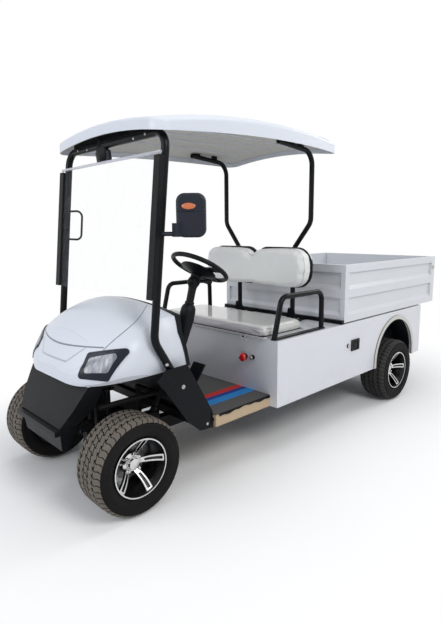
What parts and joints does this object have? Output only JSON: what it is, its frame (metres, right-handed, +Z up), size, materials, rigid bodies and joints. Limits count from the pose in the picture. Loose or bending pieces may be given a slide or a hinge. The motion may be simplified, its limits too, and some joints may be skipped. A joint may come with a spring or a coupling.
{
  "type": "electric utility golf cart with cargo box",
  "caption": "Electric utility golf cart: white body and fluted roof on black tubes, bench seat, folding screen and a steel cargo box with a drop tailgate.",
  "frame": {"origin": "on the ground under the middle of the whole cart", "axes": "+X forward, +Y to the driver's left, +Z up"},
  "size_m": [3.243, 1.2594, 1.9018],
  "materials": {
    "white_paint": "gloss white body paint",
    "white_moulding": "gloss white moulding",
    "black_paint": "satin black powder coat",
    "black_plastic": "grained black plastic",
    "chassis_paint": "black chassis paint",
    "tyre_rubber": "matt rubber",
    "wheel_alloy": "machined faces with black pockets",
    "clear_sheet": "clear",
    "lamp_lens": "clear moulded lens",
    "lamp_bezel": "blue-black gloss",
    "tail_lens": "red lens",
    "seat_vinyl": "light grey vinyl",
    "plywood": "bare plywood",
    "mat_rubber": "ribbed mat with red, navy and blue stripes",
    "arch_strip": "tan edge strip",
    "steel": "bare steel",
    "battery_case": "black cases"
  },
  "bodies": {
    "chassis": {"arch_trims": "arch_strip", "armrests": "black_paint", "battery_pack": "battery_case", "body_fittings": "black_plastic", "cargo_floor": "white_paint", "cargo_front": "white_paint", "cargo_sides": "white_paint", "chassis_frame": "chassis_paint", "cross_members": "chassis_paint", "dashboard": "black_plastic", "deck": "white_paint", "floor_board": "plywood", "floor_mat": "mat_rubber", "front_arms": "chassis_paint", "front_cowl": "white_moulding", "front_hoop": "black_paint", "front_panel": "black_plastic", "front_shocks": "chassis_paint", "headlamp_bezels": "lamp_bezel", "headlamp_lenses": "lamp_lens", "mirrors": "black_plastic", "nose_frame": "chassis_paint", "pedals": "black_paint", "rear_axle": "chassis_paint", "rear_posts": "black_paint", "rear_springs": "chassis_paint", "roof": "white_moulding", "screen_strips": "black_plastic", "seat_back": "seat_vinyl", "seat_back_board": "black_plastic", "seat_front_panel": "white_paint", "side_panels": "white_paint", "side_plates": "black_paint", "spring_towers": "chassis_paint", "steering_column": "black_paint", "tail_lamps": "tail_lens", "toe_board": "black_paint", "wheelhouses": "black_plastic", "windscreen": "clear_sheet"},
    "knuckle_left": {"knuckle_left": "steel"},
    "knuckle_right": {"knuckle_right": "steel"},
    "wheel_front_left": {"tyre_front_left": "tyre_rubber", "rim_front_left": "wheel_alloy"},
    "wheel_front_right": {"tyre_front_right": "tyre_rubber", "rim_front_right": "wheel_alloy"},
    "wheel_rear_left": {"tyre_rear_left": "tyre_rubber", "rim_rear_left": "wheel_alloy"},
    "wheel_rear_right": {"tyre_rear_right": "tyre_rubber", "rim_rear_right": "wheel_alloy"},
    "steering": {"steering_wheel": "black_plastic"},
    "tie_rod": {"tie_rod": "steel"},
    "tailgate": {"tailgate": "white_paint"},
    "seat": {"seat_board": "black_plastic", "seat_cushion": "seat_vinyl"}
  },
  "joints": [
    {"name": "steer_left", "type": "hinge", "parent": "chassis", "child": "knuckle_left", "pos_m": [1.35, 0.33, 0.229], "axis": [0, 0, 1], "range_deg": [-28, 28]},
    {"name": "steer_right", "type": "hinge", "parent": "chassis", "child": "knuckle_right", "pos_m": [1.35, -0.33, 0.229], "axis": [0, 0, 1], "range_deg": [-28, 28]},
    {"name": "tie_rod_pivot", "type": "hinge", "parent": "knuckle_left", "child": "tie_rod", "pos_m": [1.235, 0.292, 0.169], "axis": [0, 0, 1], "range_deg": [-31.36, 31.36]},
    {"name": "steering_turn", "type": "hinge", "parent": "chassis", "child": "steering", "pos_m": [0.761, 0.25, 1.088], "axis": [-0.515, 0, 0.8572], "range_deg": [-392, 392]},
    {"name": "spin_front_left", "type": "hinge", "parent": "knuckle_left", "child": "wheel_front_left", "pos_m": [1.35, 0.414, 0.229], "axis": [0, 1, 0], "continuous": true},
    {"name": "spin_front_right", "type": "hinge", "parent": "knuckle_right", "child": "wheel_front_right", "pos_m": [1.35, -0.414, 0.229], "axis": [0, 1, 0], "continuous": true},
    {"name": "spin_rear_left", "type": "hinge", "parent": "chassis", "child": "wheel_rear_left", "pos_m": [-0.9, 0.517, 0.229], "axis": [0, 1, 0], "continuous": true},
    {"name": "spin_rear_right", "type": "hinge", "parent": "chassis", "child": "wheel_rear_right", "pos_m": [-0.9, -0.517, 0.229], "axis": [0, 1, 0], "continuous": true},
    {"name": "tailgate_hinge", "type": "hinge", "parent": "chassis", "child": "tailgate", "pos_m": [-1.623, 0, 0.679], "axis": [0, -1, 0], "range_deg": [0, 170]},
    {"name": "seat_hinge", "type": "hinge", "parent": "chassis", "child": "seat", "pos_m": [0.468, 0, 0.664], "axis": [0, 1, 0], "range_deg": [0, 60]}
  ],
  "couplings": [
    {"joint": "steer_right", "follows": "steer_left", "ratio": 1},
    {"joint": "tie_rod_pivot", "follows": "steer_left", "ratio": -1.12},
    {"joint": "steering_turn", "follows": "steer_left", "ratio": 14}
  ]
}
